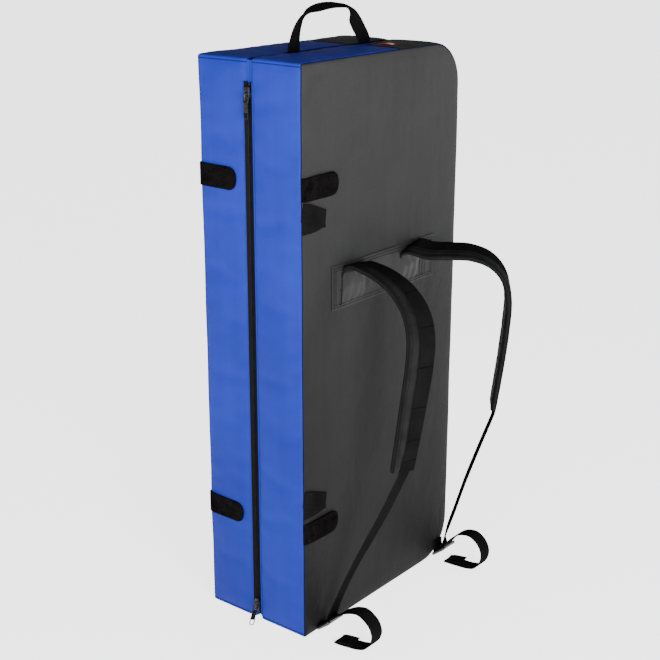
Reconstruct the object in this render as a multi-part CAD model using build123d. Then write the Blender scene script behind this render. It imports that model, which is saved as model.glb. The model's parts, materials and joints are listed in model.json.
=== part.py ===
"""Folding kick shield: two upholstered foam slabs joined like a book, standing on their short ends.

Frame: origin on the ground at the middle of the closed pair, +Z up along the slabs,
+X towards the broad face that carries the shoulder straps, -Y towards the zip,
+Y towards the fold.
"""
from build123d import *
import math
import os

# ---- driving dimensions, millimetres ----
HEIGHT = 1000
DEPTH = 440
SLAB = 106
HALF_GAP = 4
CORNER_R = 75
FRONT_EDGE_R = 9
SKIN = 1.5
FOAM_CLEAR = 0.3
LANDING_FOAM = 20
OUTER_FOAM = 13
BLUE_END_Y = 40

HINGE_Y = DEPTH / 2 + 0.5
WEB_T = 1.6
WEBBING = 30

CHAIN_BOTTOM = 16
CHAIN_TOP = 957
SLIDER_LEN = 27
SLIDER_W = 12
PULL_LEN = 37
PULL_W = 10
RING_W = 12
PULL_T = 1.6
BOTTOM_PULL_TILT = 40
BOTTOM_PULL_SKEW = 14

TAB_W = 39
TAB_LEN = 88
TAB_T = 2.4
TAB_Z = (803, 202)
LOOP_Z = (766, 266)
LOOP_LEN = 49
LOOP_DROP = 20

PATCH_Y = (-146, 147)
PATCH_Z = (585, 662)
PAD_W = 62
PAD_T = 8
PLY = 1.2
LAYER_GAP = 0.2
BINDING = 1.7

FRONT_ROOT_Y = -92
REAR_ROOT_Y = 66
FRONT_FOOT_Y = -170
REAR_FOOT_Y = 188
REAR_TURN = 30

INNER_X = HALF_GAP
OUTER_X = HALF_GAP + SLAB
FRONT_Y = -DEPTH / 2
REAR_Y = DEPTH / 2

os.makedirs("parts", exist_ok=True)


def save(name, *solids):
    """Write the solids as the sub-part of that name."""
    shape = solids[0] if len(solids) == 1 else Compound(children=list(solids))
    shape.label = name
    export_step(shape, f"parts/{name}.step")


def block(x, y, z):
    """A box between pairs of limits."""
    size = (x[1] - x[0], y[1] - y[0], z[1] - z[0])
    place = Pos((x[0] + x[1]) / 2, (y[0] + y[1]) / 2, (z[0] + z[1]) / 2)
    return place * Box(*size)


def mirrored(shape):
    """The same piece on the other slab."""
    return shape.mirror(Plane.YZ)


# ---- slabs ----
def slab_block(inset):
    """The right slab's outline, drawn in by inset on every side."""
    low_y = FRONT_Y + inset
    high_y = REAR_Y - inset
    radius = CORNER_R - inset
    body = block((INNER_X + inset, OUTER_X - inset), (low_y, high_y), (inset, HEIGHT - inset))
    rear = body.edges().filter_by(Axis.X).sort_by(Axis.Y)[-2:]
    body = fillet(rear, radius)
    front = body.edges().filter_by(Axis.Z).sort_by(Axis.Y)[:2].sort_by(Axis.X)[0]
    return fillet(front, FRONT_EDGE_R - inset)


def slab_panels():
    """Cover panels and foam layers of the right slab, by name."""
    shell = slab_block(0) - slab_block(SKIN)
    span_y = (FRONT_Y - 1, REAR_Y + 1)
    span_z = (-1, HEIGHT + 1)
    outer_zone = block((OUTER_X - SKIN, OUTER_X + 1), span_y, span_z)
    inner_zone = block((INNER_X - 1, INNER_X + SKIN), (FRONT_Y + FRONT_EDGE_R, REAR_Y + 1), span_z)
    wall = shell - outer_zone - inner_zone
    front_zone = block((0, OUTER_X + 1), (FRONT_Y - 1, BLUE_END_Y), span_z)
    foam = slab_block(SKIN + FOAM_CLEAR)
    landing_x = INNER_X + SKIN + LANDING_FOAM
    outer_foam_x = OUTER_X - SKIN - OUTER_FOAM
    layer = 0.15
    return {
        "outer_face": shell & outer_zone,
        "landing_face": shell & inner_zone,
        "blue_wall": wall & front_zone,
        "black_wall": wall - front_zone,
        "landing_foam": foam & block((0, landing_x - layer), span_y, span_z),
        "foam_core": foam & block((landing_x + layer, outer_foam_x - layer), span_y, span_z),
        "outer_foam": foam & block((outer_foam_x + layer, OUTER_X), span_y, span_z),
    }


def hinge_web():
    """Webbing along the fold edge of the right slab, turned in over the hinge line."""
    flat = block((2.4, 3.7), (REAR_Y - 55, REAR_Y - 0.2), (CORNER_R, HEIGHT - CORNER_R))
    lip = block((0.4, 3.7), (REAR_Y - 1.4, REAR_Y - 0.2), (CORNER_R, HEIGHT - CORNER_R))
    return flat + lip


# ---- zip ----
def zip_tape():
    """Half of the zip tape, from the chain out to the rounded front edge of the slab."""
    outline = Polyline((3.6, -216.9), (5.3, -217.5), (8.7, -220.3), (8.1, -221.1), (4.9, -218.5),
                       (3.6, -218.0), close=True)
    section = Plane.XY.offset(CHAIN_BOTTOM - 6) * make_face(outline)
    return extrude(section, CHAIN_TOP - CHAIN_BOTTOM + 12)


def zip_chain():
    """Half of the tooth chain."""
    return block((0.2, 3.4), (-218.8, -215.6), (CHAIN_BOTTOM, CHAIN_TOP))


def slider(z_mid, crown_up):
    """Slider body: face plate, back plate and the crown that holds the pull."""
    half = SLIDER_LEN / 2
    plate = block((-SLIDER_W / 2, SLIDER_W / 2), (-223.4, -221.6), (z_mid - half, z_mid + half))
    plate = fillet(plate.edges().filter_by(Axis.Y), 2.5)
    back = block((-3.2, 3.2), (-214.9, -213.7), (z_mid - half, z_mid + half))
    crown_mid = z_mid + crown_up
    crown = block((-1.1, 1.1), (-229.4, -223.4), (crown_mid - 7, crown_mid + 7))
    tunnel = block((-2, 2), (-227.8, -223.3), (crown_mid - 5.4, crown_mid + 5.4))
    return plate + (crown - tunnel), back


def pull_tab(pivot, tilt, skew):
    """Pull: a ring round the crown, a long body and a drop-shaped hole at the free end."""
    thick = (-PULL_T / 2, PULL_T / 2)
    ring = block((-RING_W / 2, RING_W / 2), thick, (-11, 1))
    body = ring + block((-PULL_W / 2, PULL_W / 2), thick, (1 - PULL_LEN, -10))
    body = fillet(body.edges().filter_by(Axis.Y).sort_by(Axis.Z)[:2], 3)
    ring_hole = block((-4.2, 4.2), (-2, 2), (-9, -1))
    end_hole = Pos(0, 0, 6 - PULL_LEN) * Rot(90, 0, 0) * Cylinder(2.2, 4)
    body = body - ring_hole - end_hole
    return Pos(*pivot) * Rot(-tilt, 0, 0) * Rot(0, -skew, 0) * body


# ---- handle and label ----
def handle():
    """Carry handle: flat legs in the seam that turn into a flat grip."""
    route = [(-106, 1012), (-88, 1052), (-35, 1070), (35, 1062), (88, 1012)]
    arch = Plane.YZ * band(route, [22, 60, 60, 22], -WEB_T / 2, WEB_T / 2)
    grip = extrude(arch, WEBBING / 2, both=True)
    grip = grip & block((-20, 20), (-130, 120), (1030, 1100))
    legs = []
    for foot_y, lean in ((-107, 8), (85, -14)):
        leg = Polyline((foot_y - 15, 1004), (foot_y + 15, 1004), (foot_y + 15 + lean, 1042),
                       (foot_y - 15 + lean, 1042), close=True)
        legs.append(extrude(Plane.YZ * make_face(leg), WEB_T, both=True))
    return grip + legs[0] + legs[1]


def handle_feet():
    """Ends of the handle webbing, sewn down between the slabs."""
    return [block((-1.6, 1.6), (y - 15, y + 15), (942, 998)) for y in (-107, 85)]


# ---- closures ----
def hook_tab(z_mid):
    """Hook tab lying on the right broad face, its round end towards the fold."""
    x = (OUTER_X + 0.6, OUTER_X + 0.6 + TAB_T)
    tab = block(x, (FRONT_Y + 2, FRONT_Y + TAB_LEN), (z_mid - TAB_W / 2, z_mid + TAB_W / 2))
    ends = tab.edges().filter_by(Axis.X).sort_by(Axis.Y)[-2:]
    return fillet(ends, TAB_W / 2 - 1)


def tab_root(z_mid):
    """Sewn root of a hook tab, over the front edge of the right slab."""
    half = TAB_W / 2
    return block((OUTER_X - 12, OUTER_X), (FRONT_Y - 1.7, FRONT_Y - 0.2), (z_mid - half, z_mid + half))


def front_tab(z_mid):
    """Hook tab of the left slab, folded over its blue front wall."""
    y = (FRONT_Y - 0.6 - TAB_T, FRONT_Y - 0.6)
    tab = block((-OUTER_X + 1, -OUTER_X + 83), y, (z_mid - TAB_W / 2, z_mid + TAB_W / 2))
    ends = tab.edges().filter_by(Axis.Y).sort_by(Axis.X)[-2:]
    return fillet(ends, TAB_W / 2 - 1)


def front_tab_root(z_mid):
    """Sewn root of a front tab, on the left broad face."""
    half = TAB_W / 2
    x = (-OUTER_X - 1.7, -OUTER_X - 0.2)
    return block(x, (FRONT_Y + 3, FRONT_Y + 33), (z_mid - half, z_mid + half))


def webbing_loop(z_root):
    """Folded webbing loop on the right broad face, its two plies spread like a V."""
    near = FRONT_Y + 4
    far = near + LOOP_LEN
    half = WEBBING / 2
    drop = z_root - LOOP_DROP
    upper = Polyline((near, z_root - half), (far, drop - half), (far, drop + half), (near, z_root + half),
                     close=True)
    lower = Polyline((near, drop - half - 3), (far, drop - half), (far, drop + half),
                     (near, drop + half - 3), close=True)
    first = extrude(Plane.YZ.offset(OUTER_X + 0.6) * make_face(upper), WEB_T)
    second = extrude(Plane.YZ.offset(OUTER_X + 2.6) * make_face(lower), WEB_T)
    fold = block((OUTER_X + 0.6, OUTER_X + 2.6 + WEB_T), (far, far + 2), (drop - half, drop + half))
    return first + second + fold


# ---- shoulder straps ----
def band(points, radii, near, far):
    """Closed face between two parallels of a route of straight runs and arcs."""
    def parallel(distance):
        runs = [(Vector(*b) - Vector(*a)).normalized() for a, b in zip(points, points[1:])]
        sides = [Vector(-run.Y, run.X) for run in runs]
        moved = [Vector(*points[0]) + sides[0] * distance]
        bends = []
        for corner, before, after, radius in zip(points[1:-1], sides, sides[1:], radii):
            reach = distance / (1 + before.dot(after))
            moved.append(Vector(*corner) + (before + after) * reach)
            turn = before.X * after.Y - before.Y * after.X
            bends.append(radius - math.copysign(distance, turn))
        moved.append(Vector(*points[-1]) + sides[-1] * distance)
        return FilletPolyline(*moved, radius=bends)

    one = parallel(near)
    two = parallel(far)
    edges = one.edges() + two.edges() + [Line(one @ 0, two @ 0), Line(one @ 1, two @ 1)]
    return make_face(edges)


def strap_plane(root, foot, turn):
    """Plane of a strap's side profile: its x runs outward, its y runs down the chord."""
    chord = (Vector(*foot) - Vector(*root)).normalized()
    out = Vector(math.cos(math.radians(turn)), math.sin(math.radians(turn)), 0)
    out = (out - chord * out.dot(chord)).normalized()
    return Plane(origin=root, x_dir=out, z_dir=out.cross(chord))


def strap_layer(plane, route, radii, depth, across):
    """One layer of a strap between two depths and two side limits."""
    face = band(route, radii, *depth)
    solid = extrude(Plane.XY.offset(across[0]) * face, across[1] - across[0])
    return plane.location * solid


def build_strap(name, plane, pad_route, pad_radii, web_route, web_radii):
    """Pad layers, binding and webbing of one shoulder strap."""
    half = PAD_T / 2
    side = PAD_W / 2
    ply = (half + LAYER_GAP, half + LAYER_GAP + PLY)
    wide = (-side + BINDING + LAYER_GAP, side - BINDING - LAYER_GAP)
    sewn = (-WEBBING / 2, WEBBING / 2)
    web = (-ply[1] - LAYER_GAP - WEB_T, -ply[1] - LAYER_GAP)
    edge = (-ply[1], ply[1])
    pad = (plane, pad_route, pad_radii)
    save(f"strap_{name}_foam", strap_layer(*pad, (-half, half), wide))
    save(f"strap_{name}_outer", strap_layer(*pad, (-ply[1], -ply[0]), wide))
    save(f"strap_{name}_lining", strap_layer(*pad, ply, wide))
    save(f"strap_{name}_binding", strap_layer(*pad, edge, (-side, BINDING - side)),
         strap_layer(*pad, edge, (side - BINDING, side)))
    save(f"strap_{name}_pad_webbing", strap_layer(*pad, web, sewn))
    save(f"strap_{name}_lower_webbing",
         strap_layer(plane, web_route, web_radii, (-WEB_T / 2, WEB_T / 2), sewn))


def strap_root(root_y):
    """Fixed end of a strap, sewn flat on the patch."""
    half = PAD_W / 2 - 2
    x = (OUTER_X + 2.6, OUTER_X + 7.4)
    return block(x, (root_y - half, root_y + half), (PATCH_Z[0] + 10, PATCH_Z[1] - 6))


def buckle(foot_y):
    """Ladder-lock buckle: a frame with three bars, lying out from the lower corner."""
    frame = Box(33, 42, 4.5)
    frame = fillet(frame.edges().filter_by(Axis.Z), 3)
    slots = [Pos(x, 0, 0) * Box(5.4, 33, 8) for x in (-10.6, -1.4, 8.6)]
    for slot in slots:
        frame = frame - slot
    return Pos(127.5, foot_y, 17) * Rot(0, -38, 0) * frame


def anchor_loop(foot_y, base_z):
    """Short webbing on the slab's corner that holds the buckle's inner bar."""
    return block((OUTER_X + 0.2, OUTER_X + 2.4), (foot_y - 14, foot_y + 14), (base_z, base_z + 24))


def free_tail(foot_y, route, radii):
    """Free webbing end curling over outside the buckle and back along the ground."""
    profile = Plane.XZ.offset(-foot_y) * band(route, radii, -WEB_T / 2, WEB_T / 2)
    return extrude(profile, WEBBING / 2, both=True)


def main():
    for part, solid in slab_panels().items():
        save(f"right_{part}", solid)
        save(f"left_{part}", mirrored(solid))

    save("right_hinge_web", hinge_web())
    save("left_hinge_web", mirrored(hinge_web()))

    save("right_zip_tape", zip_tape())
    save("left_zip_tape", mirrored(zip_tape()))
    save("right_zip_chain", zip_chain())
    save("left_zip_chain", mirrored(zip_chain()))
    stop = ((0.3, 3.4), (-218.9, -215.5))
    save("zip_top_stop", block(*stop, (CHAIN_TOP + 0.3, CHAIN_TOP + 3.5)))
    save("zip_bottom_stop", block(*stop, (CHAIN_BOTTOM - 3.5, CHAIN_BOTTOM - 0.3)))
    top_mid = CHAIN_TOP - SLIDER_LEN / 2
    bottom_mid = CHAIN_BOTTOM + SLIDER_LEN / 2
    save("top_slider", *slider(top_mid, -3))
    save("bottom_slider", *slider(bottom_mid, -1))
    save("top_pull", pull_tab((0, -225.8, top_mid - 3), 0, 0))
    save("bottom_pull", pull_tab((0, -225.8, bottom_mid - 1), BOTTOM_PULL_TILT, BOTTOM_PULL_SKEW))

    save("carry_handle", handle())
    save("handle_feet", *handle_feet())
    save("side_label", block((50, 80), (57, 75), (HEIGHT + 0.1, HEIGHT + 0.9)))

    for place, z_mid, z_root in zip(("upper", "lower"), TAB_Z, LOOP_Z):
        save(f"right_{place}_tab", hook_tab(z_mid))
        save(f"left_{place}_tab", front_tab(z_mid))
        save(f"right_{place}_loop", webbing_loop(z_root))
        save(f"left_{place}_loop", mirrored(webbing_loop(z_root)))
    save("right_tab_roots", *[tab_root(z) for z in TAB_Z])
    save("left_tab_roots", *[front_tab_root(z) for z in TAB_Z])

    patch = block((OUTER_X + 0.2, OUTER_X + 1.4), PATCH_Y, PATCH_Z)
    save("yoke_patch", fillet(patch.edges().filter_by(Axis.X), 6))

    front_root = (OUTER_X, FRONT_ROOT_Y, 650)
    front_foot = (OUTER_X + 15, FRONT_FOOT_Y, 10)
    build_strap(
        "front", strap_plane(front_root, front_foot, 0),
        [(17, -6), (64, 2), (120, 30), (150, 80), (153, 130), (133, 315)], [120, 90, 85, 180],
        [(133, 316), (107, 399), (43, 530), (10, 611)], [250, 300])
    rear_root = (OUTER_X, REAR_ROOT_Y, 652)
    rear_foot = (OUTER_X + 15, REAR_FOOT_Y, 10)
    build_strap(
        "rear", strap_plane(rear_root, rear_foot, REAR_TURN),
        [(34, 6), (92, 13), (136, 28), (168, 72), (171, 115), (127, 325)], [150, 72, 76, 120],
        [(127, 326), (62, 484), (8, 619)], [600])
    save("strap_roots", strap_root(FRONT_ROOT_Y), strap_root(REAR_ROOT_Y))

    save("buckle_front", buckle(FRONT_FOOT_Y))
    save("buckle_rear", buckle(REAR_FOOT_Y))
    save("buckle_anchors", anchor_loop(FRONT_FOOT_Y, 4), anchor_loop(REAR_FOOT_Y, 32))
    save("tail_front", free_tail(
        FRONT_FOOT_Y, [(148, 38), (172, 56), (222, 64), (242, 22), (212, 1), (166, 1)], [60, 26, 14, 20]))
    save("tail_rear", free_tail(
        REAR_FOOT_Y, [(146, 38), (172, 64), (222, 68), (226, 20), (200, 1), (146, 1)], [40, 20, 20, 20]))


main()
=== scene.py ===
"""Folding kick shield: two upholstered foam slabs that zip shut, with a carry handle, hook tabs,
webbing loops and a pair of padded shoulder straps. Run as a script, it builds every piece around
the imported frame. All sizes are in metres."""
import json
import math

import bmesh
import bpy
import numpy as np
from bpy.props import FloatProperty, FloatVectorProperty, IntProperty, PointerProperty
from mathutils import Matrix, Vector, noise


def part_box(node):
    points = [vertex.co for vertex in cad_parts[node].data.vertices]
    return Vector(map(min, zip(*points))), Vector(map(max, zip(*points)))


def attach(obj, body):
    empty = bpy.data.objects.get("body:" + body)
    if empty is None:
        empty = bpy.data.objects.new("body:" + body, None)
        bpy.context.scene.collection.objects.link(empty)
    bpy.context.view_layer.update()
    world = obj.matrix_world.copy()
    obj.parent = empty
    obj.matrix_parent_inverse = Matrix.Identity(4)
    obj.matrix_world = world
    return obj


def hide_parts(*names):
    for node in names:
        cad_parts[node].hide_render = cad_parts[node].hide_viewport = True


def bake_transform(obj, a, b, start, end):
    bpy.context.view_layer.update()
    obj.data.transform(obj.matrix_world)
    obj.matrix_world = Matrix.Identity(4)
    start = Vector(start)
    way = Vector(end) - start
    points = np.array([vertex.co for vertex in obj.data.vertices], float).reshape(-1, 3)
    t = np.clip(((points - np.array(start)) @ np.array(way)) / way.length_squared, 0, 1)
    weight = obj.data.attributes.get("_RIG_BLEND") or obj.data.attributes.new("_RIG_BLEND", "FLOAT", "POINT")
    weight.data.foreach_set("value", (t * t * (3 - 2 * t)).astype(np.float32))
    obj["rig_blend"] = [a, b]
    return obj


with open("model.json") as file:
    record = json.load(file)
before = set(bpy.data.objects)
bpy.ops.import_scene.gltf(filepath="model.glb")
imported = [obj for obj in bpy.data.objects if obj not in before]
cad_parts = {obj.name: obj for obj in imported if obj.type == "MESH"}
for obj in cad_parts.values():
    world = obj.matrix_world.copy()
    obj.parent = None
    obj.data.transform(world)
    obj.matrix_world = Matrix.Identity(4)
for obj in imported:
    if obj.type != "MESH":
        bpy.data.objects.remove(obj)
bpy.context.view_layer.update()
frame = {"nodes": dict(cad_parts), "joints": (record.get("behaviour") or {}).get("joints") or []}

bl_info = {
    "name": "Folding Kick Shield",
    "version": (1, 0, 0),
    "blender": (4, 5, 0),
    "location": "View3D > Sidebar > Kick Shield",
    "description": "Builds a folding kick shield with its zip, handle, closures and shoulder straps",
    "category": "Object",
}

SIDES = {"right": 1, "left": -1}
PLACES = ("upper", "lower")
PINCH = 0.0007


# ---------------------------------------------------------------- settings
class KickShieldSizes(bpy.types.PropertyGroup):
    """Sizes of the soft parts that a maker might change."""

    corner_radius: FloatProperty(
        name="Rear corner radius", description="Rounding of the two rear corners of each slab",
        default=0.075, unit="LENGTH")
    groove_radius: FloatProperty(
        name="Zip edge radius", description="Rounding of the edge beside the zip",
        default=0.009, unit="LENGTH")
    seam_radius: FloatProperty(
        name="Seam radius", description="Rounding of the cover where two panels are sewn together",
        default=0.0042, unit="LENGTH")
    cloth_cell: FloatProperty(
        name="Cloth cell", description="Grid spacing of the covers before they are inflated",
        default=0.0125, unit="LENGTH")
    crown: FloatProperty(
        name="Crown", description="Most that a cover panel may swell over the foam",
        default=0.0045, unit="LENGTH")
    cover_thickness: FloatProperty(
        name="Cover thickness", description="Thickness of the coated cover fabric",
        default=0.0009, unit="LENGTH")
    webbing_width: FloatProperty(
        name="Webbing width", description="Width of the flat webbing", default=0.030, unit="LENGTH")
    webbing_thickness: FloatProperty(
        name="Webbing thickness", description="Thickness of the flat webbing", default=0.0016, unit="LENGTH")
    band_width: FloatProperty(
        name="Band width", description="Width of the webbing sewn along a shoulder pad", default=0.037,
        unit="LENGTH")
    pad_width: FloatProperty(
        name="Pad width", description="Width of a shoulder strap's pad", default=0.062, unit="LENGTH")
    stitch_pitch: FloatProperty(
        name="Stitch pitch", description="Distance from one stitch to the next", default=0.0042, unit="LENGTH")
    tooth_pitch: FloatProperty(
        name="Tooth pitch", description="Distance from one coil tooth to the next", default=0.0024,
        unit="LENGTH")
    cloth_frames: IntProperty(
        name="Cloth frames", description="Frames that the inflation runs for", default=16)


class KickShieldColours(bpy.types.PropertyGroup):
    """Colours of the materials."""

    blue: FloatVectorProperty(
        name="Blue fabric", description="Front, top and bottom walls", subtype="COLOR", size=3,
        default=(0.0135, 0.0240, 0.235))
    black: FloatVectorProperty(
        name="Black fabric", description="Broad faces and rear walls", subtype="COLOR", size=3,
        default=(0.0235, 0.0235, 0.0238))
    webbing: FloatVectorProperty(
        name="Webbing", description="Handle, loops and strap webbing", subtype="COLOR", size=3,
        default=(0.0052, 0.0052, 0.0054))
    hook: FloatVectorProperty(
        name="Hook tape", description="Hook tabs", subtype="COLOR", size=3, default=(0.0019, 0.0017, 0.0017))
    pad: FloatVectorProperty(
        name="Pad cover", description="Cover of the shoulder pads", subtype="COLOR", size=3,
        default=(0.0080, 0.0080, 0.0083))
    metal: FloatVectorProperty(
        name="Zip metal", description="Zip sliders and pulls", subtype="COLOR", size=3,
        default=(0.017, 0.017, 0.018))
    label: FloatVectorProperty(
        name="Label", description="Woven side label", subtype="COLOR", size=3, default=(0.50, 0.008, 0.020))


def sizes():
    return bpy.context.scene.kick_shield_sizes


def colours():
    return bpy.context.scene.kick_shield_colours


# ---------------------------------------------------------------- materials
def add(tree, kind, inputs=None, **settings):
    """One node with its settings and inputs; an input may be a value or another node's output."""
    made = tree.nodes.new("ShaderNode" + kind)
    for key, value in settings.items():
        setattr(made, key, value)
    for key, value in (inputs or {}).items():
        if isinstance(value, bpy.types.NodeSocket):
            tree.links.new(value, made.inputs[key])
        else:
            made.inputs[key].default_value = value
    return made


def maths(tree, operation, first, second=0.0):
    return add(tree, "Math", {0: first, 1: second}, operation=operation).outputs[0]


def ripple(tree, source, pitch):
    """A sine along one coordinate that repeats every pitch metres."""
    return maths(tree, "SINE", maths(tree, "MULTIPLY", source, 2 * math.pi / pitch))


def new_material(name, roughness, metallic=0.0, sheen=0.0, coat=0.0, specular=0.18):
    made = bpy.data.materials.new(f"kick_shield_{name}")
    made.use_nodes = True
    shader = made.node_tree.nodes["Principled BSDF"]
    shader.inputs["Roughness"].default_value = roughness
    shader.inputs["Metallic"].default_value = metallic
    shader.inputs["Sheen Weight"].default_value = sheen
    shader.inputs["Sheen Roughness"].default_value = 0.45
    shader.inputs["Specular IOR Level"].default_value = specular
    shader.inputs["Coat Weight"].default_value = coat
    return made, made.node_tree, shader


def tones(tree, source, colour, low, high):
    """Colour that drifts between a darker and a lighter tone as source goes from 0 to 1."""
    ramp = add(tree, "ValToRGB", {"Fac": source})
    dark, light = ramp.color_ramp.elements
    dark.position, light.position = 0.30, 0.70
    dark.color = tuple(c * low for c in colour) + (1,)
    light.color = tuple(min(1, c * high) for c in colour) + (1,)
    return ramp.outputs["Color"]


def bumps(tree, shader, *layers):
    """Chain of bump layers, each (height, strength, distance), into the shader's normal."""
    normal = None
    for height, strength, distance in layers:
        inputs = {"Height": height, "Strength": strength, "Distance": distance}
        if normal is not None:
            inputs["Normal"] = normal
        normal = add(tree, "Bump", inputs).outputs["Normal"]
    tree.links.new(normal, shader.inputs["Normal"])


def coated_fabric(name, colour, roughness, creases, speckle=1.0, gloss=0.03, foot=0.74):
    """Coated woven polyester: fine plain weave, soft creases and slow changes of tone; painted shade darkens the
    colour towards the bottom, to foot times the colour at z = 0.
    """
    made, tree, shader = new_material(name, roughness, specular=gloss)
    place = add(tree, "TexCoord").outputs["Object"]
    x, y, z = add(tree, "SeparateXYZ", {0: place}).outputs
    weave = maths(tree, "ADD", maths(tree, "ADD", ripple(tree, x, 0.0013), ripple(tree, y, 0.0013)),
                  ripple(tree, z, 0.0013))
    cloud = add(tree, "TexNoise", {"Vector": place, "Scale": 5.0, "Detail": 4.0, "Roughness": 0.55})
    squeezed = add(tree, "Mapping", {"Vector": place, "Scale": (9.0, 9.0, 5.0)}).outputs[0]
    crease = add(tree, "TexNoise", {"Vector": squeezed, "Scale": 1.6, "Detail": 5.0, "Distortion": 0.7})
    grain = add(tree, "TexNoise", {"Vector": place, "Scale": 900.0, "Detail": 2.0})
    drawn = add(tree, "Mapping", {"Vector": place, "Scale": (46.0, 46.0, 2.4)}).outputs[0]
    streak = add(tree, "TexNoise", {"Vector": drawn, "Scale": 1.0, "Detail": 3.0})
    mottle = maths(tree, "ADD", maths(tree, "MULTIPLY", cloud.outputs["Fac"], 0.75),
                   maths(tree, "MULTIPLY", streak.outputs["Fac"], 0.25))
    gathered = add(tree, "Attribute", attribute_name="gathered").outputs["Fac"]
    hung = add(tree, "Mapping", {"Vector": place, "Scale": (34.0, 34.0, 13.0)}).outputs[0]
    fold = add(tree, "TexNoise", {"Vector": hung, "Scale": 1.0, "Detail": 2.0, "Distortion": 0.4})
    puckers = maths(tree, "MULTIPLY", gathered, fold.outputs["Fac"])
    tone = tones(tree, mottle, colour, 0.84, 1.14)
    fleck = tones(tree, grain.outputs["Fac"], (1, 1, 1), 1 - 0.30 * speckle, 1.0)
    mixed = add(tree, "Mix", {"Factor": 1.0, 6: tone, 7: fleck}, data_type="RGBA", blend_type="MULTIPLY")
    # painted shade: the colour is multiplied from foot at z = 0 up to full at z = 0.9, standing for the shade that
    # falls towards the bottom
    painted_foot_shade = add(tree, "MapRange", {"Value": z, "From Max": 0.9, "To Min": foot, "To Max": 1.0})
    foot_shaded = add(tree, "Mix", {"Factor": 1.0, 6: mixed.outputs[2], 7: painted_foot_shade.outputs[0]}, data_type="RGBA",
               blend_type="MULTIPLY")
    tree.links.new(foot_shaded.outputs[2], shader.inputs["Base Color"])
    sheen_map = add(tree, "MapRange", {"Value": cloud.outputs["Fac"], "To Min": roughness - 0.06,
                                       "To Max": roughness + 0.08})
    tree.links.new(sheen_map.outputs[0], shader.inputs["Roughness"])
    bumps(tree, shader, (puckers, 0.35, 0.012), (crease.outputs["Fac"], creases, 0.006), (weave, 0.25, 0.00012),
          (grain.outputs["Fac"], 0.2, 0.0002))
    return made


def woven_band(name, colour, rib=0.0021, pick=0.0013, strength=0.9, roughness=0.62):
    """Flat webbing: ribs along its length, crossed by a slanting weft."""
    made, tree, shader = new_material(name, roughness, specular=0.0)
    along = add(tree, "Attribute", attribute_name="along").outputs["Fac"]
    across = add(tree, "Attribute", attribute_name="across").outputs["Fac"]
    ribs = ripple(tree, across, rib)
    lean = maths(tree, "MULTIPLY", maths(tree, "ABSOLUTE", ribs), 0.4 * pick)
    picks = ripple(tree, maths(tree, "ADD", along, lean), pick)
    weave = maths(tree, "ADD", ribs, maths(tree, "MULTIPLY", picks, 0.7))
    place = add(tree, "TexCoord").outputs["Object"]
    fuzz = add(tree, "TexNoise", {"Vector": place, "Scale": 1300.0, "Detail": 2.0})
    cloud = add(tree, "TexNoise", {"Vector": place, "Scale": 28.0, "Detail": 3.0})
    lift = add(tree, "MapRange", {"Value": weave, "From Min": -1.7, "From Max": 1.7})
    mixed = maths(tree, "ADD", maths(tree, "MULTIPLY", lift.outputs[0], 0.6),
                  maths(tree, "MULTIPLY", cloud.outputs["Fac"], 0.4))
    tree.links.new(tones(tree, mixed, colour, 0.55, 1.75), shader.inputs["Base Color"])
    bumps(tree, shader, (weave, strength, 0.00025), (fuzz.outputs["Fac"], 0.25, 0.0001))
    return made


def hook_tape(name, colour):
    """Hook tape: a dense field of tiny hooks on a woven ground."""
    made, tree, shader = new_material(name, 0.85, specular=0.0)
    place = add(tree, "TexCoord").outputs["Object"]
    hooks = add(tree, "TexVoronoi", {"Vector": place, "Scale": 520.0, "Randomness": 0.75})
    patch = add(tree, "TexNoise", {"Vector": place, "Scale": 60.0, "Detail": 5.0})
    mixed = maths(tree, "MULTIPLY", hooks.outputs["Distance"], patch.outputs["Fac"])
    tree.links.new(tones(tree, maths(tree, "MULTIPLY", mixed, 2.4), colour, 0.55, 2.4),
                   shader.inputs["Base Color"])
    bumps(tree, shader, (patch.outputs["Fac"], 0.35, 0.0008), (hooks.outputs["Distance"], 1.0, 0.0007))
    return made


def pad_fabric(name, colour, mesh_pitch, roughness):
    """Pad cover or lining: knitted mesh that follows the strap, slightly brushed."""
    made, tree, shader = new_material(name, roughness, specular=0.02)
    along = add(tree, "Attribute", attribute_name="along").outputs["Fac"]
    across = add(tree, "Attribute", attribute_name="across").outputs["Fac"]
    knit = maths(tree, "MULTIPLY", ripple(tree, along, mesh_pitch), ripple(tree, across, mesh_pitch))
    place = add(tree, "TexCoord").outputs["Object"]
    cloud = add(tree, "TexNoise", {"Vector": place, "Scale": 30.0, "Detail": 4.0})
    fuzz = add(tree, "TexNoise", {"Vector": place, "Scale": 1100.0, "Detail": 2.0})
    mixed = maths(tree, "ADD", maths(tree, "MULTIPLY", knit, 0.25), cloud.outputs["Fac"])
    tree.links.new(tones(tree, mixed, colour, 0.6, 1.5), shader.inputs["Base Color"])
    bumps(tree, shader, (cloud.outputs["Fac"], 0.3, 0.002), (knit, 0.5, 0.0003),
          (fuzz.outputs["Fac"], 0.3, 0.00015))
    return made


def dark_metal(name, colour):
    """Dark nickel plate with handling scuffs."""
    made, tree, shader = new_material(name, 0.34, metallic=0.95, specular=0.5)
    place = add(tree, "TexCoord").outputs["Object"]
    scuff = add(tree, "TexNoise", {"Vector": place, "Scale": 260.0, "Detail": 5.0})
    streak = add(tree, "TexWave", {"Vector": place, "Scale": 300.0, "Distortion": 9.0, "Detail": 3.0})
    tree.links.new(tones(tree, scuff.outputs["Fac"], colour, 0.7, 1.5), shader.inputs["Base Color"])
    rough = add(tree, "MapRange", {"Value": streak.outputs["Fac"], "To Min": 0.24, "To Max": 0.42})
    tree.links.new(rough.outputs[0], shader.inputs["Roughness"])
    bumps(tree, shader, (scuff.outputs["Fac"], 0.15, 0.0001))
    return made


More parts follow.
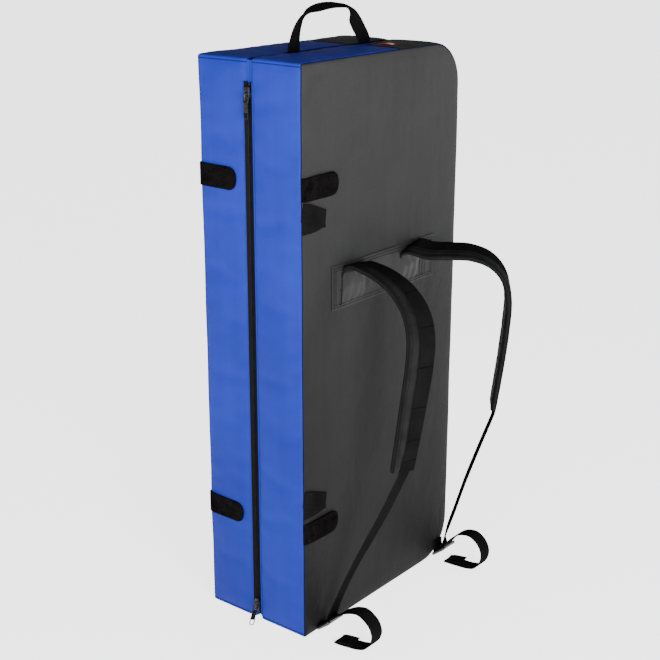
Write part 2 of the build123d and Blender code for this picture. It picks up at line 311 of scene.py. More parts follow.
def moulded_plastic(name, colour, roughness, gloss=0.15):
    """Moulded acetal with a fine spark-eroded surface."""
    made, tree, shader = new_material(name, roughness, specular=gloss)
    place = add(tree, "TexCoord").outputs["Object"]
    spark = add(tree, "TexNoise", {"Vector": place, "Scale": 1600.0, "Detail": 3.0})
    cloud = add(tree, "TexNoise", {"Vector": place, "Scale": 90.0, "Detail": 3.0})
    tree.links.new(tones(tree, cloud.outputs["Fac"], colour, 0.75, 1.4), shader.inputs["Base Color"])
    bumps(tree, shader, (spark.outputs["Fac"], 0.35, 0.00012))
    return made


def label_weave(name, colour):
    """Plain red woven label with a pale stripe along the middle."""
    made, tree, shader = new_material(name, 0.6, sheen=0.05)
    place = add(tree, "TexCoord").outputs["Object"]
    x, y, z = add(tree, "SeparateXYZ", {0: place}).outputs
    low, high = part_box("side_label")
    middle = (low.y + high.y) / 2
    off = maths(tree, "ABSOLUTE", maths(tree, "SUBTRACT", y, middle))
    stripe = maths(tree, "LESS_THAN", off, (high.y - low.y) * 0.19)
    weave = maths(tree, "ADD", ripple(tree, x, 0.0008), ripple(tree, y, 0.0008))
    ground = tones(tree, weave, colour, 0.7, 1.15)
    pale = tones(tree, weave, (0.62, 0.60, 0.58), 0.85, 1.1)
    mixed = add(tree, "Mix", {"Factor": stripe, 6: ground, 7: pale}, data_type="RGBA")
    tree.links.new(mixed.outputs[2], shader.inputs["Base Color"])
    bumps(tree, shader, (weave, 0.5, 0.0001))
    return made


def material(name):
    """The named material, made the first time it is asked for."""
    if f"kick_shield_{name}" in bpy.data.materials:
        return bpy.data.materials[f"kick_shield_{name}"]
    tint = {key: tuple(getattr(colours(), key)) for key in
            ("blue", "black", "webbing", "hook", "pad", "metal", "label")}
    makers = {
        "blue_cover": lambda: coated_fabric("blue_cover", tint["blue"], 0.52, 0.22, 0.5),
        # foot=0.30 gives the black faces strong painted shade towards the bottom
        "black_cover": lambda: coated_fabric("black_cover", tint["black"], 0.50, 0.45, foot=0.30),
        "webbing": lambda: woven_band("webbing", tint["webbing"]),
        "hook_tape": lambda: hook_tape("hook_tape", tint["hook"]),
        "pad_cover": lambda: pad_fabric("pad_cover", tint["pad"], 0.0016, 0.6),
        "pad_lining": lambda: pad_fabric("pad_lining", tint["pad"], 0.0032, 0.75),
        "binding": lambda: woven_band("binding", tint["webbing"], 0.0012, 0.0011, 0.6, 0.55),
        "zip_tape": lambda: coated_fabric("zip_tape", tint["webbing"], 0.72, 0.1),
        "coil": lambda: moulded_plastic("coil", tint["webbing"], 0.4, 0.08),
        "zip_metal": lambda: dark_metal("zip_metal", tint["metal"]),
        "buckle": lambda: moulded_plastic("buckle", tint["webbing"], 0.28, 0.5),
        "thread": lambda: moulded_plastic("thread", tuple(0.7 * c for c in tint["webbing"]), 0.6, 0.0),
        "label": lambda: label_weave("label", tint["label"]),
        # partly a real seam bead, partly painted shade: coloured at 0.42 of the blue to stand for the shade along
        # the rounded blue fold
        "shaded_blue_seam": lambda: coated_fabric("shaded_blue_seam", tuple(0.42 * c for c in tint["blue"]), 0.7, 0.05),
        "patch": lambda: coated_fabric("patch", tuple(0.86 * c for c in tint["black"]), 0.45, 0.5, 1.0, 0.07),
        "seam": lambda: coated_fabric("seam", tuple(0.12 * c for c in tint["blue"]), 0.7, 0.05),
    }
    return makers[name]()


# ---------------------------------------------------------------- shaping helpers
def finish_piece(name, bm, look, body, replaces=(), smooth_angle=40, bend=None):
    """Makes the object, gives it its material, and lets it ride on its body or bend across one joint."""
    mesh = bpy.data.meshes.new(name)
    bmesh.ops.recalc_face_normals(bm, faces=bm.faces)
    bm.to_mesh(mesh)
    bm.free()
    mesh.materials.append(material(look))
    mesh.shade_smooth()
    mesh.set_sharp_from_angle(angle=math.radians(smooth_angle))
    piece = bpy.data.objects.new(name, mesh)
    bpy.context.scene.collection.objects.link(piece)
    if bend:
        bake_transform(piece, *bend)
    else:
        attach(piece, body)
    if replaces:
        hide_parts(*replaces)
    return piece


def rounded_box(bm, low, high, radius, segments=2):
    """Adds a box between two corners with all its edges rounded."""
    low, high = Vector(low), Vector(high)
    spread = Matrix.Diagonal((high - low).to_4d())
    spread[3][3] = 1
    verts = bmesh.ops.create_cube(bm, size=1, matrix=Matrix.Translation((low + high) / 2) @ spread)["verts"]
    edges = list({edge for vert in verts for edge in vert.link_edges})
    bmesh.ops.bevel(bm, geom=edges, offset=radius, offset_type="OFFSET", affect="EDGES",
                    segments=segments, profile=0.5, material=-1)


def spread_knots(points):
    """Knots of a smooth curve: closer together where the points are."""
    knots = [0.0]
    for start, end in zip(points, points[1:]):
        knots.append(knots[-1] + max((end - start).length, 1e-6) ** 0.5)
    return knots


def between(points, knots, spot):
    """Point of the smooth curve through the points, at one spot along its knots."""
    last = len(points) - 1
    index = next((i for i in range(last) if spot <= knots[i + 1]), last - 1)
    span = knots[index + 1] - knots[index]
    t = (spot - knots[index]) / span

    def slope(i):
        if i in (0, last):
            near = 0 if i == 0 else last - 1
            return (points[near + 1] - points[near]) / (knots[near + 1] - knots[near])
        left, right = knots[i] - knots[i - 1], knots[i + 1] - knots[i]
        rise = (points[i + 1] - points[i]) / right * left + (points[i] - points[i - 1]) / left * right
        return rise / (left + right)

    start, end = points[index], points[index + 1]
    return (start * (2 * t ** 3 - 3 * t * t + 1) + end * (3 * t * t - 2 * t ** 3)
            + slope(index) * span * (t ** 3 - 2 * t * t + t) + slope(index + 1) * span * (t ** 3 - t * t))


def lay_frames(stations, steps):
    """Frames along a band. A station is (place, width direction, width scale, thickness scale).
    Each frame is (matrix, distance along): x runs across the band, y out of its face, z along it."""
    places = [Vector(s[0]) for s in stations]
    widths = [Vector(s[1]).normalized() for s in stations]
    scales = [Vector((s[2] if len(s) > 2 else 1, s[3] if len(s) > 3 else 1, 0)) for s in stations]
    knots = spread_knots(places)
    turns = [knots[-1] * i / steps for i in range(steps + 1)]
    spots = [between(places, knots, turn) for turn in turns]
    frames, travelled = [], 0.0
    for i, spot in enumerate(spots):
        ahead = spots[min(i + 1, steps)] - spots[max(i - 1, 0)]
        tangent = ahead.normalized()
        width = between(widths, knots, turns[i])
        width = (width - tangent * width.dot(tangent)).normalized()
        out = tangent.cross(width)
        scale = between(scales, knots, turns[i])
        if i:
            travelled += (spot - spots[i - 1]).length
        matrix = Matrix((width * max(scale.x, 0.02), out * max(scale.y, 0.02), tangent)).transposed().to_4x4()
        matrix.translation = spot
        frames.append((matrix, travelled))
    return frames


def sweep(bm, section, frames):
    """Extrudes a closed section through the frames, and stores along and across on its points."""
    along = bm.verts.layers.float.get("along") or bm.verts.layers.float.new("along")
    across = bm.verts.layers.float.get("across") or bm.verts.layers.float.new("across")
    verts = []
    for x, y in section:
        vert = bm.verts.new(frames[0][0] @ Vector((x, y, 0)))
        vert[across] = x
        vert[along] = frames[0][1]
        verts.append(vert)
    face = bm.faces.new(verts)
    made = list(verts)
    for (before, _), (after, distance) in zip(frames, frames[1:]):
        grown = bmesh.ops.extrude_face_region(bm, geom=[face])["geom"]
        verts = [part for part in grown if isinstance(part, bmesh.types.BMVert)]
        face = next(part for part in grown if isinstance(part, bmesh.types.BMFace))
        bmesh.ops.transform(bm, matrix=after @ before.inverted(), verts=verts)
        for vert in verts:
            vert[along] = distance
        made += verts
    return made


def flat_section(width, thickness, cuts=8, lift=0.0):
    """Section of a flat band with slightly rounded edges."""
    half, deep = width / 2, thickness / 2
    xs = [-half + deep * 0.6 + (width - deep * 1.2) * i / cuts for i in range(cuts + 1)]
    top = [(x, lift + deep) for x in xs]
    bottom = [(x, lift - deep) for x in reversed(xs)]
    return top + [(half, lift)] + bottom + [(-half, lift)]


def stitch_line(bm, frames, across, height, pitch, length=0.0028, thick=0.00042):
    """A row of stitches along the frames, at one place across the band."""
    gap = 0.0
    for (matrix, distance), (_, following) in zip(frames, frames[1:]):
        while gap <= following:
            if gap >= distance:
                spot = matrix @ Matrix.Translation((across, height, gap - distance))
                turn = spot.to_3x3()
                turn = Matrix([column.normalized() for column in turn.transposed()]).transposed().to_4x4()
                turn.translation = spot.translation
                shape = Matrix.Diagonal((thick, 0.8 * thick, length / 2, 1))
                bmesh.ops.create_icosphere(bm, subdivisions=1, radius=1, matrix=turn @ shape)
            gap += pitch


def bar_tack(bm, matrix, width, height):
    """Dense zigzag of stitches across a band."""
    count = int(width / 0.0011)
    for i in range(count):
        spot = matrix @ Matrix.Translation((-width / 2 + width * (i + 0.5) / count, height, 0))
        lean = Matrix.Rotation(0.25 if i % 2 else -0.25, 4, "Y")
        shape = Matrix.Diagonal((0.0004, 0.0004, 0.0017, 1))
        bmesh.ops.create_icosphere(bm, subdivisions=1, radius=1, matrix=spot @ lean @ shape)


# ---------------------------------------------------------------- slab covers
def slab_limits(side):
    """Lowest and highest corners of the right slab; the left one is its mirror."""
    inner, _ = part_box("right_landing_face")
    _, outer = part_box("right_outer_face")
    wall_low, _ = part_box("right_blue_wall")
    return Vector((inner.x, wall_low.y, wall_low.z)), outer


def boxed_block(low, high):
    """Block of one slab with rounded rear corners, a rounded zip edge and rounded seams."""
    size = sizes()
    bm = bmesh.new()
    spread = Matrix.Diagonal((high.x - low.x, high.y - low.y, high.z - low.z, 1))
    bmesh.ops.create_cube(bm, size=1, matrix=Matrix.Translation((low + high) / 2) @ spread)

    def round_edges(test, radius, segments):
        picked = [edge for edge in bm.edges if test(*(v.co for v in edge.verts))]
        bmesh.ops.bevel(bm, geom=picked, offset=radius, offset_type="OFFSET", affect="EDGES",
                        segments=segments, profile=0.5, material=-1)

    round_edges(lambda a, b: min(a.y, b.y) > high.y - 1e-5 and abs(a.z - b.z) < 1e-5, size.corner_radius, 12)
    round_edges(lambda a, b: max(a.x, b.x) < low.x + 1e-5 and max(a.y, b.y) < low.y + 1e-5,
                size.groove_radius, 4)
    sharp = [edge for edge in bm.edges if edge.calc_face_angle(0) > math.radians(50)]
    bmesh.ops.bevel(bm, geom=sharp, offset=size.seam_radius, offset_type="OFFSET", affect="EDGES",
                    segments=4, profile=0.5, material=-1)
    return bm


def slice_evenly(bm, axis, start, end, cell):
    """Cuts the block into even slices along one axis, clear of the rounded edges."""
    count = max(1, round((end - start) / cell))
    normal = Vector([1.0 if i == axis else 0.0 for i in range(3)])
    for i in range(count + 1):
        spot = normal * (start + (end - start) * i / count)
        whole = list(bm.verts) + list(bm.edges) + list(bm.faces)
        bmesh.ops.bisect_plane(bm, geom=whole, dist=1e-5, plane_co=spot, plane_no=normal)


TONGUE = (0.030, 0.104)


def tongue(place, low, blue_end, side):
    """Whether a place on the top lies in the blue tongue that tapers back along the zip edge."""
    across, back = place.x - low.x, place.y - blue_end
    return side > 0 and back >= 0 and across / TONGUE[0] + back / TONGUE[1] < 1


def sewn_spots():
    """Places on the broad face where something is sewn on: (y, z, squeeze in height)."""
    spots = []
    for part in ("right_upper_tab", "right_lower_tab", "buckle_rear", "buckle_front"):
        low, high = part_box(part)
        buckle = part.startswith("buckle")
        spots.append(((low.y + high.y) / 2 if buckle else low.y, (low.z + high.z) / 2, 0.55 if buckle else 1.0))
    return spots


def gathering(place, face_x, patch, spots):
    """How strongly the cover is gathered at a place by what is sewn to it nearby, from 0 to 1."""
    if place.x < face_x - 0.006:
        return 0.0
    low, high = patch
    beside = Vector((max(low.y - place.y, 0, place.y - high.y), max(low.z - place.z, 0, place.z - high.z)))
    strength = max(0.0, 1 - beside.length / 0.085)
    for y, z, squeeze in spots:
        reach = Vector((place.y - y, (place.z - z) * squeeze)).length
        strength = max(strength, 0.8 * max(0.0, 1 - reach / 0.075))
    return strength


def crease_shift(place, seed):
    """Slow unevenness of a sewn edge."""
    return noise.noise_vector(place * 11 + Vector((seed, 0, 0))) * 0.0011


def shape_cover(side):
    """The whole cover of one slab: sliced, pinched at its seams, inflated over the foam."""
    size = sizes()
    low, high = slab_limits(side)
    blue_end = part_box("right_blue_wall")[1].y
    bm = boxed_block(low, high)
    seam = size.seam_radius
    slice_evenly(bm, 0, low.x + size.groove_radius + seam, high.x - seam, size.cloth_cell)
    slice_evenly(bm, 1, low.y + size.groove_radius, blue_end, size.cloth_cell)
    slice_evenly(bm, 1, blue_end, high.y - seam, size.cloth_cell)
    slice_evenly(bm, 2, low.z + seam, high.z - seam, size.cloth_cell)
    if side > 0:
        caps = [face for face in bm.faces if face.normal.z > 0.9]
        rim = list({part for face in caps for part in (*face.verts, *face.edges)})
        bmesh.ops.bisect_plane(bm, geom=caps + rim, dist=1e-5, plane_co=(low.x + TONGUE[0], blue_end, 0),
                               plane_no=(TONGUE[1], TONGUE[0], 0))
    bmesh.ops.remove_doubles(bm, verts=bm.verts, dist=0.0006)
    bm.normal_update()
    middle = (low + high) / 2
    mark = bm.verts.layers.float.new("pinned")
    for face in bm.faces:
        centre = face.calc_center_median()
        normal = face.normal
        if normal.x > 0.72 and centre.x > middle.x:
            face.material_index = 2
        elif normal.x < -0.72 and centre.x < middle.x and centre.y > low.y + size.groove_radius:
            face.material_index = 3
        elif centre.y < blue_end or (normal.z > 0.9 and tongue(centre, low, blue_end, side)):
            face.material_index = 4 if abs(centre.z - middle.z) > middle.z - low.z - seam else 0
        else:
            face.material_index = 1
    for vert in bm.verts:
        looks = {face.material_index for face in vert.link_faces}
        steep = max((edge.calc_face_angle(0) for edge in vert.link_edges), default=0)
        if len(looks) > 1 or steep > 0.25 or vert.co.z < low.z + 0.004:
            vert[mark] = 1
    seam_verts = [v for v in bm.verts if len({f.material_index for f in v.link_faces}) > 1]
    inward = {v: -v.normal * PINCH for v in seam_verts}
    for vert, shift in inward.items():
        vert.co += shift
    for vert in bm.verts:
        if low.z + 0.03 < vert.co.z:
            vert.co += crease_shift(vert.co, side)
    if side < 0:
        bmesh.ops.scale(bm, vec=(-1, 1, 1), verts=bm.verts)
    bmesh.ops.recalc_face_normals(bm, faces=bm.faces)
    gathers = bm.verts.layers.float.new("gathered")
    patch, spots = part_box("yoke_patch"), sewn_spots()
    for vert in bm.verts:
        vert[gathers] = gathering(vert.co, high.x, patch, spots) if side > 0 else 0.0
        vert.co.x -= vert[gathers] ** 2 * (0.0012 + 0.0012 * noise.noise(vert.co * 38)) if side > 0 else 0.0
    pinned = [v[mark] > 0.5 for v in bm.verts]
    mesh = bpy.data.meshes.new("cover")
    bm.to_mesh(mesh)
    bm.free()
    cover = bpy.data.objects.new("cover", mesh)
    bpy.context.scene.collection.objects.link(cover)
    group = cover.vertex_groups.new(name="sewn")
    group.add([i for i, held in enumerate(pinned) if held], 1.0, "REPLACE")
    inflate(cover)
    return cover


def inflate(cover):
    """Blows the cover up over its foam with the cloth solver, then limits how far it may swell."""
    size = sizes()
    scene = bpy.context.scene
    start = np.array([v.co for v in cover.data.vertices])
    solver = cover.modifiers.new("swell", "CLOTH")
    settings = solver.settings
    settings.quality = 4
    settings.mass = 0.25
    settings.tension_stiffness = 12
    settings.compression_stiffness = 12
    settings.bending_stiffness = 0.6
    settings.use_pressure = True
    settings.uniform_pressure_force = 4
    settings.shrink_min = -0.012
    settings.vertex_group_mass = "sewn"
    settings.effector_weights.gravity = 0
    solver.point_cache.frame_start = 1
    solver.point_cache.frame_end = size.cloth_frames
    for number in range(1, size.cloth_frames + 1):
        scene.frame_set(number)
    evaluated = cover.evaluated_get(bpy.context.evaluated_depsgraph_get())
    swollen = np.array([v.co for v in evaluated.data.vertices])
    cover.modifiers.remove(solver)
    scene.frame_set(1)
    shift = swollen - start
    length = np.linalg.norm(shift, axis=1, keepdims=True)
    limit = size.crown
    limit = np.where(np.abs(start[:, 0:1]) > np.abs(start[:, 0]).max() - 0.004, 0.0016, limit)
    eased = limit * np.tanh(length / limit)
    shift = shift * np.where(length > 1e-9, eased / np.maximum(length, 1e-9), 0)
    places = start + shift
    places[:, 1] = np.minimum(places[:, 1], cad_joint("fold").y - 0.0002)
    for vert, place in zip(cover.data.vertices, places):
        vert.co = place


def split_panels(cover, side_name):
    """Cuts the inflated cover along its seams into the four sewn panels of one slab."""
    smooth = cover.modifiers.new("smooth", "SUBSURF")
    smooth.levels = smooth.render_levels = 1
    evaluated = cover.evaluated_get(bpy.context.evaluated_depsgraph_get())
    fine = bpy.data.meshes.new_from_object(evaluated)
    bpy.data.objects.remove(cover)
    panels = (("blue_wall", "blue_cover", "blue_fabric", ("blue_wall",)),
              ("black_wall", "black_cover", "black_fabric", ("black_wall", "foam_core")),
              ("outer_face", "black_cover", "black_fabric", ("outer_face", "outer_foam")),
              ("landing_face", "black_cover", "black_fabric", ("landing_face", "landing_foam")))
    for index, (part, look, slot, nodes) in enumerate(panels):
        bm = bmesh.new()
        bm.from_mesh(fine)
        others = [face for face in bm.faces if face.material_index % 4 != index]
        bmesh.ops.delete(bm, geom=others, context="FACES")
        for face in bm.faces:
            face.material_index = 0
        mesh = bpy.data.meshes.new(f"{side_name}_{part}_cover")
        bm.to_mesh(mesh)
        bm.free()
        mesh.materials.append(material(look))
        mesh.shade_smooth()
        panel = bpy.data.objects.new(mesh.name, mesh)
        bpy.context.scene.collection.objects.link(panel)
        wall = panel.modifiers.new("fabric", "SOLIDIFY")
        wall.thickness = sizes().cover_thickness
        wall.offset = -1
        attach(panel, f"{side_name}_slab")
        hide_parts(*[f"{side_name}_{node}" for node in nodes])
    sew_seams(fine, side_name, "panel_seams", False)
    sew_seams(fine, side_name, "wall_seams", True)


def sew_seams(fine, side_name, part, blue):
    """Raised seam line wherever two panels of the cover meet; along the blue-to-blue fold the line is coloured
    darker than the cloth as painted shade.
    """
    bm = bmesh.new()
    bm.from_mesh(fine)
    joins = []
    for edge in bm.edges:
        looks = {face.material_index for face in edge.link_faces}
        if len(looks) > 1 and (looks == {0, 4}) == blue:
            joins.append(edge)
    bmesh.ops.delete(bm, geom=list(bm.faces), context="FACES_ONLY")
    plain = [edge for edge in bm.edges if edge not in set(joins)]
    bmesh.ops.delete(bm, geom=plain, context="EDGES")
    loose = [vert for vert in bm.verts if not vert.link_edges]
    bmesh.ops.delete(bm, geom=loose, context="VERTS")
    mesh = bpy.data.meshes.new(f"{side_name}_{part}")
    bm.to_mesh(mesh)
    bm.free()
    line = bpy.data.objects.new(mesh.name, mesh)
    bpy.context.scene.collection.objects.link(line)
    bpy.ops.object.select_all(action="DESELECT")
    bpy.context.view_layer.objects.active = line
    line.select_set(True)
    bpy.ops.object.convert(target="CURVE")
    line = bpy.context.object
    line.data.bevel_depth = 0.0008
    line.data.bevel_resolution = 1
    bpy.ops.object.convert(target="MESH")
    line = bpy.context.object
    line.data.materials.clear()
    # the blue-to-blue seam line takes a darker blue as painted shade along the fold
    line.data.materials.append(material("shaded_blue_seam" if blue else "seam"))
    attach(line, f"{side_name}_slab")


class MESH_OT_kick_shield_covers(bpy.types.Operator):
    """Build the fabric covers of both slabs, inflated over their foam"""

    bl_idname = "mesh.kick_shield_covers"
    bl_label = "Slab Covers"

    def execute(self, context):
        for name, side in SIDES.items():
            split_panels(shape_cover(side), name)
        return {"FINISHED"}


# ---------------------------------------------------------------- fold webbing and zip
class MESH_OT_kick_shield_fold_web(bpy.types.Operator):
    """Build the webbing that joins the two slabs along the fold"""

    bl_idname = "mesh.kick_shield_fold_web"
    bl_label = "Fold Webbing"

    def execute(self, context):
        low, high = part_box("right_hinge_web")
        sheet_x = (low.x * 0 + high.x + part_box("right_hinge_web")[0].x) / 2
        gap = 0.0030
        rear = high.y - 0.0008
        stations = [((gap, low.y, low.z), (0, 0, 1)), ((gap, (low.y + rear) / 2, low.z), (0, 0, 1)),
                    ((gap, rear - 0.003, low.z), (0, 0, 1)), ((gap * 0.6, rear - 0.0006, low.z), (0, 0, 1)),
                    ((0, rear, low.z), (0, 0, 1)), ((-gap * 0.6, rear - 0.0006, low.z), (0, 0, 1)),
                    ((-gap, rear - 0.003, low.z), (0, 0, 1)),
                    ((-gap, (low.y + rear) / 2, low.z), (0, 0, 1)), ((-gap, low.y, low.z), (0, 0, 1))]
        tall = high.z - low.z
        bm = bmesh.new()
        frames = lay_frames(stations, 64)
        section = [(x + tall / 2, y) for x, y in flat_section(tall, 0.0011, 30)]
        sweep(bm, section, frames)
        web = finish_piece("fold_webbing", bm, "webbing", None, ("right_hinge_web", "left_hinge_web"),
                           bend=("right_slab", "left_slab", (0.002, rear, 0.5), (-0.002, rear, 0.5)))
        return {"FINISHED"}


def coil_teeth(side):
    """One side of the coil: a row of bent teeth that reach the middle of the chain."""
    low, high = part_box("right_zip_chain")
    pitch = sizes().tooth_pitch
    bm = bmesh.new()
    count = int((high.z - low.z) / pitch)
    y = (low.y + high.y) / 2
    shift = 0.0 if side > 0 else pitch / 2
    for i in range(count):
        z = low.z + pitch * (i + 0.25) + shift
        spot = Matrix.Translation((side * 0.0015, y - 0.0002, z))
        shape = Matrix.Diagonal((0.0018, 0.00125, 0.00052, 1))
        bmesh.ops.create_icosphere(bm, subdivisions=1, radius=1, matrix=spot @ shape)
    cord = [((side * 0.0030, y, low.z), (1, 0, 0)), ((side * 0.0030, y, (low.z + high.z) / 2), (1, 0, 0)),
            ((side * 0.0030, y, high.z), (1, 0, 0))]
    sweep(bm, flat_section(0.0013, 0.0022, 2), lay_frames(cord, 40))
    inner, outer = sorted((side * 0.0003, side * 0.0037))
    rounded_box(bm, (inner, high.y - 0.0006, low.z), (outer, high.y - 0.0001, high.z), 0.0001, 1)
    return bm


def build_slider(name, crown_end):
    """Slider: waisted face plate with side flanges, back plate, and the crown over the pull."""
    low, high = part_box(name)
    middle = (low.z + high.z) / 2
    half = (high.z - low.z) / 2
    front_y = low.y + 0.006
    bm = bmesh.new()
    rounded_box(bm, (-0.0060, front_y, middle - half + 0.001), (0.0060, front_y + 0.0018, middle + half - 0.001),
                0.0008, 3)
    for vert in bm.verts:
        reach = abs(vert.co.z - middle) / half
        wide = 0.74 + 0.26 * reach if crown_end * (vert.co.z - middle) > 0 else 0.74 - 0.10 * reach
        vert.co.x *= wide
    for side in (-1, 1):
        rounded_box(bm, (side * 0.0062 - 0.0007, front_y + 0.0006, middle - half * 0.5),
                    (side * 0.0062 + 0.0007, front_y + 0.0042, middle + half * 0.55), 0.0005, 2)
    rounded_box(bm, (-0.0032, high.y - 0.0012, middle - half), (0.0032, high.y, middle + half), 0.0004, 2)
    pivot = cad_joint(f"{name.split('_')[0]}_pull_swing")
    crown = [((0, front_y + 0.0004, pivot.z + 0.0062), (1, 0, 0)),
             ((0, low.y + 0.0022, pivot.z + 0.0061), (1, 0, 0)),
             ((0, low.y + 0.0008, pivot.z + 0.0042), (1, 0, 0)),
             ((0, low.y + 0.0008, pivot.z - 0.0042), (1, 0, 0)),
             ((0, low.y + 0.0022, pivot.z - 0.0061), (1, 0, 0)),
             ((0, front_y + 0.0004, pivot.z - 0.0062), (1, 0, 0))]
    sweep(bm, flat_section(0.0022, 0.0015, 3), lay_frames(crown, 24))
    finish_piece(f"{name}_body", bm, "zip_metal", name, (name,))


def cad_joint(name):
    """Place of a hinge."""
    found = next(joint for joint in frame["joints"] if joint["name"] == name)
    return Vector(found["pos_m"])


def build_pull(name, tilt, skew):
    """Pull: ring round the crown, raised rim, ribbed grip and a drop-shaped hole at its end."""
    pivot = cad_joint(f"{name}_swing")
    bm = bmesh.new()
    loop = [(0, 0.0002), (0.0042, -0.0008), (0.0050, -0.0050), (0.0042, -0.0100), (0.0034, -0.0135),
            (0.0040, -0.0200), (0.0045, -0.0290), (0.0036, -0.0340), (0, -0.0357)]
    rim = loop + [(-x, z) for x, z in reversed(loop[:-1])]
    stations = [((x, 0, z), (0, 1, 0)) for x, z in rim]
    sweep(bm, flat_section(0.0017, 0.0012, 3), lay_frames(stations, 72))
    rounded_box(bm, (-0.0037, -0.0004, -0.0265), (0.0037, 0.0004, -0.0096), 0.0003, 1)
    for step in range(6):
        z = -0.0125 - step * 0.0022
        rounded_box(bm, (-0.0026, -0.0008, z - 0.0005), (0.0026, 0.0008, z + 0.0005), 0.0003, 1)
    turn = Matrix.Rotation(math.radians(-tilt), 4, "X") @ Matrix.Rotation(math.radians(-skew), 4, "Y")
    bmesh.ops.transform(bm, matrix=Matrix.Translation(pivot) @ turn, verts=bm.verts)
    finish_piece(f"{name}_tab", bm, "zip_metal", name, (name,))


class MESH_OT_kick_shield_zip(bpy.types.Operator):
    """Build the zip: coil, tapes, end stops, two sliders and their pulls"""

    bl_idname = "mesh.kick_shield_zip"
    bl_label = "Zip"

    def execute(self, context):
        for name, side in SIDES.items():
            finish_piece(f"{name}_coil", coil_teeth(side), "coil", f"{name}_slab",
                         (f"{name}_zip_chain",))
            frame["nodes"][f"{name}_zip_tape"].data.materials.clear()
            frame["nodes"][f"{name}_zip_tape"].data.materials.append(material("zip_tape"))
        for node in ("zip_top_stop", "zip_bottom_stop"):
            frame["nodes"][node].data.materials.clear()
            frame["nodes"][node].data.materials.append(material("zip_metal"))
        build_slider("top_slider", 1)
        build_slider("bottom_slider", -1)
        build_pull("top_pull", 0, 0)
        build_pull("bottom_pull", 40, 14)
        low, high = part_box("right_zip_chain")
        top = slab_limits(1)[1].z
        tape_low, tape_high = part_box("right_zip_tape")
        for name, side in SIDES.items():
            for part, first, last in (
                    ("top_gusset", (0.0001, -0.2155, high.z + 0.004), (0.0085, -0.2145, top - 0.003)),
                    ("edge_fold", (tape_high.x - 0.0011, tape_low.y + 0.0005, tape_low.z),
                     (tape_high.x + 0.0015, tape_low.y + 0.0030, tape_high.z))):
                bm = bmesh.new()
                rounded_box(bm, first, last, 0.0004, 1)
                bmesh.ops.scale(bm, vec=(side, 1, 1), verts=bm.verts)
                finish_piece(f"{name}_zip_{part}", bm, "blue_cover", f"{name}_slab")
        return {"FINISHED"}


# ---------------------------------------------------------------- handle, label and closures
class MESH_OT_kick_shield_handle(bpy.types.Operator):
    """Build the carry handle, its sewn feet and the side label"""

    bl_idname = "mesh.kick_shield_handle"
    bl_label = "Handle and Label"

    def execute(self, context):
        size = sizes()
        flat, top = (0, 1, 0), (-0.95, 0, 0.31)
        stations = [
            ((0, -0.107, 0.944), flat), ((0, -0.107, 0.975), flat), ((0, -0.107, 1.003), flat),
            ((0, -0.104, 1.018), (-0.14, 0.98, -0.16)), ((0, -0.097, 1.036), (-0.30, 0.9, -0.3), 0.95),
            ((0, -0.084, 1.0510), (-0.55, 0.75, -0.45), 0.9), ((0, -0.062, 1.0620), (-0.93, 0.35, 0.12), 0.9),
            ((0, -0.034, 1.0680), top, 0.85), ((0, -0.004, 1.0690), top, 0.85), ((0, 0.024, 1.0660), top, 0.85),
            ((0, 0.038, 1.0600), (-0.75, 0.45, 0.45), 0.85), ((0, 0.049, 1.0480), (-0.12, 0.75, 0.65), 0.92),
            ((0, 0.061, 1.0340), (0, 0.75, 0.65)), ((0, 0.074, 1.0180), (0, 0.9, 0.4)),
            ((0, 0.084, 1.003), flat), ((0, 0.085, 0.975), flat), ((0, 0.085, 0.944), flat)]
        bm = bmesh.new()
        frames = lay_frames(stations, 150)
        sweep(bm, flat_section(size.webbing_width, size.webbing_thickness, 10), frames)
        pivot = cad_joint("carry_handle_swing")
        finish_piece("carry_handle_webbing", bm, "webbing", None, ("carry_handle", "handle_feet"),
                     bend=("right_slab", "carry_handle", pivot - Vector((0, 0, 0.006)),
                           pivot + Vector((0, 0, 0.010))))
        low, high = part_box("side_label")
        bm = bmesh.new()
        rounded_box(bm, low, high, 0.0003, 1)
        for i in range(1, 8):
            x = low.x + (high.x - low.x) * i / 8
            whole = list(bm.verts) + list(bm.edges) + list(bm.faces)
            bmesh.ops.bisect_plane(bm, geom=whole, dist=1e-6, plane_co=(x, 0, 0), plane_no=(1, 0, 0))
        for vert in bm.verts:
            vert.co.z += 0.0022 * math.sin((vert.co.x - low.x) / (high.x - low.x) * math.pi) + 0.0012
        finish_piece("side_label_weave", bm, "label", "right_slab", ("side_label",))
        return {"FINISHED"}


def tab_frames(path, steps):
    """Frames of a hook tab whose far end is rounded."""
    frames = lay_frames([(place, (0, 0, 1)) for place in path], steps)
    length = frames[-1][1]
    radius = 0.016
    rounded = []
    for matrix, distance in frames:
        left = max(length - distance, 0.0)
        scale = 1.0
        if left < radius:
            scale = 0.16 + 0.84 * math.sqrt(max(0.0, 1 - (1 - left / radius) ** 2))
        rounded.append((matrix @ Matrix.Diagonal((scale, 1, 1, 1)), distance))
    return rounded


def build_tab(name, path, body, joint_body, joint, nodes, toward):
    """Hook tab with its border stitching, sewn to a slab and free to fold open."""
    low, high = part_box(name)
    wide = high.z - low.z
    frames = tab_frames(path, 70)
    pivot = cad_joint(joint)
    bend = (body, joint_body, pivot - toward * 0.004, pivot + toward * 0.006)
    bm = bmesh.new()
    sweep(bm, flat_section(wide, 0.0022, 14), frames)
    finish_piece(f"{name}_hook", bm, "hook_tape", None, nodes, bend=bend)
    bm = bmesh.new()
    for edge in (-1, 1):
        stitch_line(bm, frames[8:-14], edge * (wide / 2 - 0.0025), 0.0011, sizes().stitch_pitch)
        stitch_line(bm, frames[8:-14], edge * (wide / 2 - 0.0025), -0.0011, sizes().stitch_pitch)
    finish_piece(f"{name}_stitches", bm, "thread", None, bend=bend)


